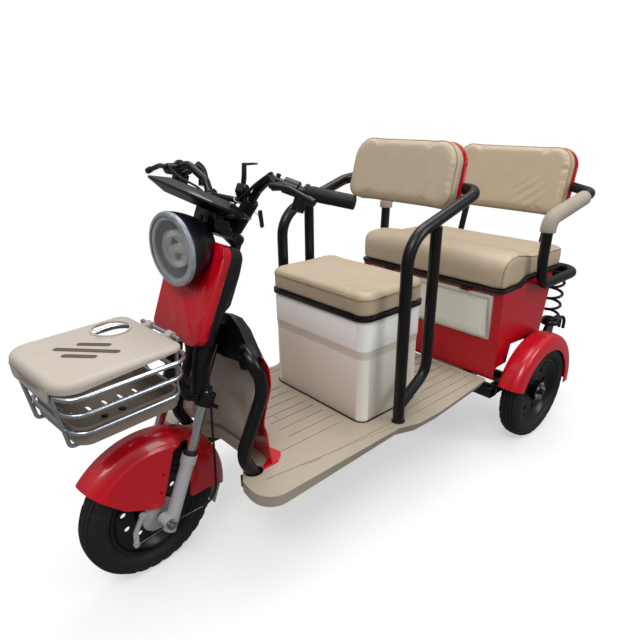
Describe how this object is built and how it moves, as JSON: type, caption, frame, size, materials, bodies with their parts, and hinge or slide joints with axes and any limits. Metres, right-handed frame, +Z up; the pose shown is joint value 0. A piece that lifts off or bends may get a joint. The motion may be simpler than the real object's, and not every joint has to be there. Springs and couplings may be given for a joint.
{
  "type": "electric tricycle",
  "caption": "Open electric passenger tricycle with a lidded front basket, a rider's box seat with grab rails and a rear bench with armrests.",
  "frame": {"origin": "on the ground, below the middle of the vehicle's length and width", "axes": "+Z up, -Y forwards, +X to the vehicle's left"},
  "size_m": [0.904, 2.0996, 1.1593],
  "materials": {
    "tyre": "ribbed road rubber",
    "black_steel": "gloss black powder coat",
    "red_paint": "gloss red paint",
    "red_plastic": "gloss red moulding",
    "beige_plastic": "fine grained beige moulding",
    "cream_plastic": "satin cream moulding",
    "cushion": "tan synthetic leather",
    "black_plastic": "satin black moulding",
    "rubber": "soft black rubber",
    "chrome": "bright chrome",
    "alloy": "silver painted casting",
    "lens": "clear ribbed lens",
    "beige_foam": "soft beige foam"
  },
  "bodies": {
    "root": {"front_frame": "black_steel", "chassis": "black_steel", "leg_shield": "beige_plastic", "leg_shield_liner": "red_plastic", "footboard": "beige_plastic", "seat_box": "cream_plastic", "grab_rails": "black_steel", "front_backrest": "cushion", "front_backrest_shell": "red_plastic", "rear_body": "red_paint", "rear_hatch": "cream_plastic", "battery": "black_plastic", "bench_frame": "black_steel", "arm_pads": "beige_foam", "rear_backrest": "cushion", "rear_backrest_shell": "red_plastic", "rear_axle": "black_steel", "motor": "alloy", "rear_springs": "black_steel", "rear_fenders": "red_plastic", "neck_cover": "black_plastic"},
    "steering": {"fork_yoke": "black_steel", "panel_struts": "black_steel", "fork_stanchions": "chrome", "fork_legs": "alloy", "front_axle": "chrome", "front_fender": "red_plastic", "mud_flap": "beige_plastic", "brake_plate": "alloy", "front_panel": "red_plastic", "panel_shell": "black_plastic", "headlamp_bowl": "black_plastic", "headlamp_lens": "lens", "dash_pod": "black_plastic", "handlebar": "black_steel", "grips": "rubber", "brake_perches": "black_plastic", "brake_levers": "black_steel", "hook": "black_steel", "basket_frame": "chrome", "basket_bracket": "black_steel", "basket_tray": "beige_plastic"},
    "front_wheel": {"front_tyre": "tyre", "front_rim": "black_steel"},
    "rear_wheel_left": {"rear_tyre_left": "tyre", "rear_rim_left": "black_steel"},
    "rear_wheel_right": {"rear_tyre_right": "tyre", "rear_rim_right": "black_steel"},
    "basket_lid": {"basket_lid": "beige_plastic"},
    "seat_lid": {"seat_pan": "black_plastic", "seat_cushion": "cushion"},
    "bench_lid": {"bench_pan": "black_plastic", "bench_cushion": "cushion"}
  },
  "joints": [
    {"name": "steering", "type": "hinge", "parent": "root", "child": "steering", "pos_m": [0, -0.7446, 0.2], "axis": [0, 0.3907, 0.9205], "range_deg": [-44, 32]},
    {"name": "front_wheel_spin", "type": "hinge", "parent": "steering", "child": "front_wheel", "pos_m": [0.00587, -0.80532, 0.19988], "axis": [0.9945, 0.0962, -0.0408], "continuous": true},
    {"name": "rear_wheel_left_spin", "type": "hinge", "parent": "root", "child": "rear_wheel_left", "pos_m": [0.403, 0.6694, 0.2], "axis": [1, 0, 0], "continuous": true},
    {"name": "rear_wheel_right_spin", "type": "hinge", "parent": "root", "child": "rear_wheel_right", "pos_m": [-0.403, 0.6694, 0.2], "axis": [1, 0, 0], "continuous": true},
    {"name": "basket_lid_hinge", "type": "hinge", "parent": "steering", "child": "basket_lid", "pos_m": [0.01803, -0.70873, 0.72363], "axis": [-0.9945, -0.0962, 0.0408], "range_deg": [0, 60]},
    {"name": "seat_lid_hinge", "type": "hinge", "parent": "root", "child": "seat_lid", "pos_m": [0, 0.1374, 0.648], "axis": [-1, 0, 0], "range_deg": [0, 70]},
    {"name": "bench_lid_hinge", "type": "hinge", "parent": "root", "child": "bench_lid", "pos_m": [0, 0.4324, 0.631], "axis": [1, 0, 0], "range_deg": [0, 70]}
  ]
}
